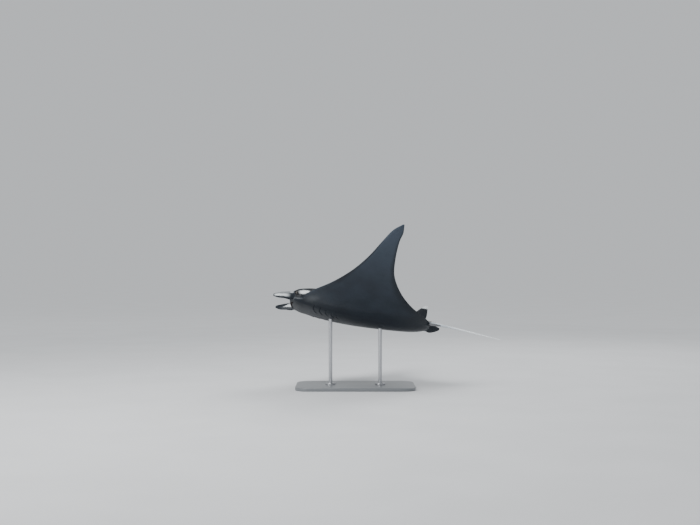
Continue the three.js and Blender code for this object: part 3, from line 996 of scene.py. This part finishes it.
class RAY_OT_eyes(bpy.types.Operator):
    """Makes both eyeballs, with a raised cornea"""

    bl_idname = "ray.eyes"
    bl_label = "Eyes"

    def execute(self, context):
        settings = context.scene.ray_eyes
        material = eye_paint(settings)
        for side, name in ((-1, "left_eye"), (1, "right_eye")):
            self.make_eye(side, name, settings.segments, material)
        return {"FINISHED"}

    def make_eye(self, side, node, segments, material):
        """An eyeball that looks out to its side, with its pupil's width along the head."""
        gaze = np.array((-0.16, side * 0.95, 0.20))
        gaze /= np.linalg.norm(gaze)
        forward = np.array((-1.0, 0, 0)) + gaze * gaze[0]
        forward /= np.linalg.norm(forward)
        up = np.cross(gaze, forward)
        up *= np.sign(up[2])
        turn = around(segments)
        rings, fields = [], []
        for lean in np.linspace(math.radians(2), math.radians(178), segments // 2):
            bulge = 1 + 0.05 * math.exp(-((lean / 0.5) ** 2))
            local = ring_of(np.cos(turn) * math.sin(lean), np.sin(turn) * math.sin(lean), math.cos(lean))
            world = local[:, :1] * forward + local[:, 1:2] * up + local[:, 2:] * gaze
            rings.append(EYE_CENTRE * (1, side, 1) + (EYE_RADIUS - EYEBALL_INSET) * bulge * world)
            fields.append(local)
        points, faces = skin_of_rings(rings)
        eye = make_object(f"{node}ball", placed(bent(points * MM)), faces)
        set_field(eye.data, "gaze", np.vstack([*fields, (0, 0, 1), (0, 0, -1)]))
        finish_piece(eye, material, "eye", node)


class RAY_OT_spine(bpy.types.Operator):
    """Makes the barbed spine that lies on the tail behind the dorsal fin"""

    bl_idname = "ray.spine"
    bl_label = "Tail spine"

    def execute(self, context):
        front, back = np.array(SPINE["front"]), np.array(SPINE["back"])
        turn = around(20)
        rings = []
        for i, t in enumerate(np.linspace(0, 1, 60)):
            barb = 1 + 0.16 * (i % 4 == 0) * (t > 0.2)
            across = SPINE["half_width"] * math.sqrt(1 - 0.96 * t**2) * 0.88 * barb
            up = SPINE["half_height"] * (1 - 0.5 * t)
            x, z = front + (back - front) * t
            ridge = up * np.sin(turn) * (1 + 0.25 * np.cos(2 * turn))
            rings.append(ring_of(x, across * np.cos(turn), z + ridge))
        points, faces = skin_of_rings(rings)
        spine = make_object("tail_barb", placed(bent(points * MM)), faces)
        finish_piece(spine, bone_paint(), "spine", "tail_spine")
        return {"FINISHED"}


class RAY_OT_stand(bpy.types.Operator):
    """Makes the base with its rounded edge, the rods and their collars"""

    bl_idname = "ray.stand"
    bl_label = "Stand"

    def execute(self, context):
        settings = context.scene.ray_stand
        self.make_base(settings)
        rod_steel = steel_paint(settings.steel, "rod_steel", (1, 1, 0.02))
        collar_steel = steel_paint(settings.steel, "collar_steel", (1, 1, 1))
        for end in ("front", "rear"):
            self.make_rod(end, rod_steel)
            self.make_collar(end, collar_steel)
        return {"FINISHED"}

    def make_base(self, settings):
        """A board with round corners, a round upper edge and a fine bevel below."""
        low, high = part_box("stand_base")
        corner, foot, edge = BASE_CORNER * MM, BASE_FOOT_EDGE * MM, settings.edge
        profile = [(foot, low.z), (0.0, low.z + foot)]
        for angle in np.linspace(0, math.pi / 2, 9):
            profile.append((edge * (1 - math.cos(angle)), high.z - edge + edge * math.sin(angle)))
        rings = []
        for inset, z in profile:
            ring = []
            for quarter, (sx, sy) in enumerate(((1, 1), (-1, 1), (-1, -1), (1, -1))):
                for angle in np.linspace(quarter, quarter + 1, 24) * math.pi / 2:
                    ring.append((sx * (high.x - corner) + (corner - inset) * math.cos(angle),
                                 sy * (high.y - corner) + (corner - inset) * math.sin(angle), z))
            rings.append(np.array(ring))
        base = make_object("base_board", *skin_of_rings(rings))
        finish_piece(base, lacquer_paint(settings.lacquer), "lacquer", "stand_base")
        crease(base)

    def turned(self, name, centre, profile, sides):
        """A body turned about an upright axis from a closed profile of radius and height."""
        turn = around(sides)
        count = len(profile)
        points = [(centre[0] + r * math.cos(a), centre[1] + r * math.sin(a), z)
                  for a in turn for r, z in profile]
        faces = []
        for i in range(sides):
            j = (i + 1) % sides
            for k in range(count):
                m = (k + 1) % count
                faces.append((i * count + k, j * count + k, j * count + m, i * count + m))
        return make_object(name, points, faces)

    def upright(self, node):
        """Centre, radius, foot and top of a round upright solid."""
        low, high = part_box(node)
        centre = ((low.x + high.x) / 2, (low.y + high.y) / 2)
        return centre, (high.x - low.x) / 2, low.z, high.z

    def make_rod(self, end, material):
        centre, radius, foot, top = self.upright(f"stand_rod_{end}")
        turn = around(64)
        rings = []
        for z in np.linspace(foot, top, 40):
            reach = radius - ROD_END_EDGE * MM if z in (foot, top) else radius
            rings.append(ring_of(centre[0] + reach * np.cos(turn), centre[1] + reach * np.sin(turn), z))
        rod = make_object(f"rod_{end}", *skin_of_rings(rings))
        finish_piece(rod, material, "steel", f"stand_rod_{end}")
        crease(rod)

    def make_collar(self, end, material):
        centre, outer, foot, top = self.upright(f"stand_collar_{end}")
        inner, edge = (ROD_RADIUS + GAP) * MM, COLLAR_EDGE * MM
        foot_edge, bore_edge = COLLAR_FOOT_EDGE * MM, COLLAR_BORE_EDGE * MM
        shoulder = [(outer - edge + edge * math.cos(a), top - edge + edge * math.sin(a))
                    for a in np.linspace(0, math.pi / 2, 8)]
        profile = [(inner, foot), (outer - foot_edge, foot), (outer, foot + foot_edge), *shoulder,
                   (inner + bore_edge, top), (inner, top - bore_edge)]
        collar = self.turned(f"collar_{end}", centre, profile, 96)
        finish_piece(collar, material, "steel", f"stand_collar_{end}")
        crease(collar)


def crease(obj, angle=35):
    """Keeps the edges sharper than an angle crisp under smooth shading."""
    made = bmesh.new()
    made.from_mesh(obj.data)
    for edge in made.edges:
        edge.smooth = len(edge.link_faces) == 2 and edge.calc_face_angle(0) < math.radians(angle)
    made.to_mesh(obj.data)
    made.free()


class RAY_OT_stage(bpy.types.Operator):
    """Makes the floor, the soft lights and the camera"""

    bl_idname = "ray.stage"
    bl_label = "Stage"

    def execute(self, context):
        settings = context.scene.ray_stage
        self.make_floor(settings)
        world = bpy.data.worlds.new("studio")
        world.use_nodes = True
        background = world.node_tree.nodes["Background"]
        background.inputs["Color"].default_value = (*settings.sky, 1)
        background.inputs["Strength"].default_value = 1.0
        context.scene.world = world
        for light in LIGHTS:
            self.make_light(*light)
        self.make_camera(context, settings)
        return {"FINISHED"}

    def make_floor(self, settings):
        """A wide disc whose rim glows as the surround does, so that no horizon shows."""
        turn = around(96)
        circle = ring_of(np.cos(turn), np.sin(turn), 0.0)
        points = np.concatenate([*(radius * circle for radius in FLOOR_RADII), [(0, 0, 0)]])
        sides, inmost = len(turn), len(FLOOR_RADII) - 1
        faces = []
        for ring in range(len(FLOOR_RADII)):
            for i in range(sides):
                a, b = ring * sides + i, ring * sides + (i + 1) % sides
                faces.append((a, b, b + sides, a + sides) if ring < inmost else (a, b, len(points) - 1))
        floor = make_object("floor", points, faces)
        paint = Paint("floor_paint")
        place = paint.node("ShaderNodeTexCoord", output="Object")
        x, y, _ = paint.axes(place)
        away = (x * x + y * y) ** 0.5
        cloud = paint.noise(place, 1.5, 3.0, 0.5)
        tone = paint.mix(cloud.ramp(0.3, 0.7), shade(settings.floor, 0.98), shade(settings.floor, 1.02))
        glow = tuple(sky * (1 - base) for sky, base in zip(settings.sky, settings.floor))
        emission = paint.mix(away.ramp(*FLOOR_GLOW), (0, 0, 0), glow)
        floor.data.materials.append(paint.surface(Base_Color=tone, Roughness=0.75, Emission_Color=emission,
                                                  Emission_Strength=1.0, Specular_IOR_Level=0.0))

    def make_light(self, name, place, aim_height, size, power):
        light = bpy.data.lights.new(name, "AREA")
        light.shape = "DISK"
        light.size = size
        light.energy = power
        lamp = bpy.data.objects.new(name, light)
        lamp.location = place
        aim = Vector((0, 0, aim_height)) - Vector(place)
        lamp.rotation_euler = aim.to_track_quat("-Z", "Y").to_euler()
        bpy.context.scene.collection.objects.link(lamp)

    def make_camera(self, context, settings):
        """A level camera that looks along +Y. The head lies left of and below the middle of the picture."""
        head = pose() @ Vector((0, 0, 0))
        data = bpy.data.cameras.new("camera")
        data.sensor_width = 36
        data.lens = LENS
        data.clip_end = 200
        camera = bpy.data.objects.new("camera", data)
        camera.location = (head.x + CAMERA_RIGHT, head.y - settings.distance, head.z + CAMERA_UP)
        camera.rotation_euler = Euler((math.radians(90), 0, 0))
        context.scene.collection.objects.link(camera)
        context.scene.camera = camera


class RAY_PT_panel(bpy.types.Panel):
    """Lists the pieces in the order in which they are made"""

    bl_idname = "RAY_PT_panel"
    bl_label = "Devil ray"
    bl_space_type = "VIEW_3D"
    bl_region_type = "UI"
    bl_category = "Ray"

    def draw(self, context):
        for group, step in STEPS:
            box = self.layout.box()
            settings = getattr(context.scene, group, None)
            if settings:
                for key in settings.__annotations__:
                    box.prop(settings, key)
            box.operator(step)


GROUPS = {"ray_skin": SkinSettings, "ray_eyes": EyeSettings, "ray_stand": StandSettings,
          "ray_stage": StageSettings}
STEPS = (("ray_skin", "ray.skin"), ("ray_eyes", "ray.eyes"), ("", "ray.spine"), ("ray_stand", "ray.stand"),
         ("ray_stage", "ray.stage"))
CLASSES = (*GROUPS.values(), RAY_OT_skin, RAY_OT_eyes, RAY_OT_spine, RAY_OT_stand, RAY_OT_stage, RAY_PT_panel)


def register():
    for one in CLASSES:
        bpy.utils.register_class(one)
    for name, group in GROUPS.items():
        setattr(bpy.types.Scene, name, PointerProperty(type=group))


def unregister():
    for name in GROUPS:
        delattr(bpy.types.Scene, name)
    for one in reversed(CLASSES):
        bpy.utils.unregister_class(one)


def main():
    register()
    for _, step in STEPS:
        group, name = step.split(".")
        getattr(getattr(bpy.ops, group), name)()


if __name__ == "__main__":
    main()
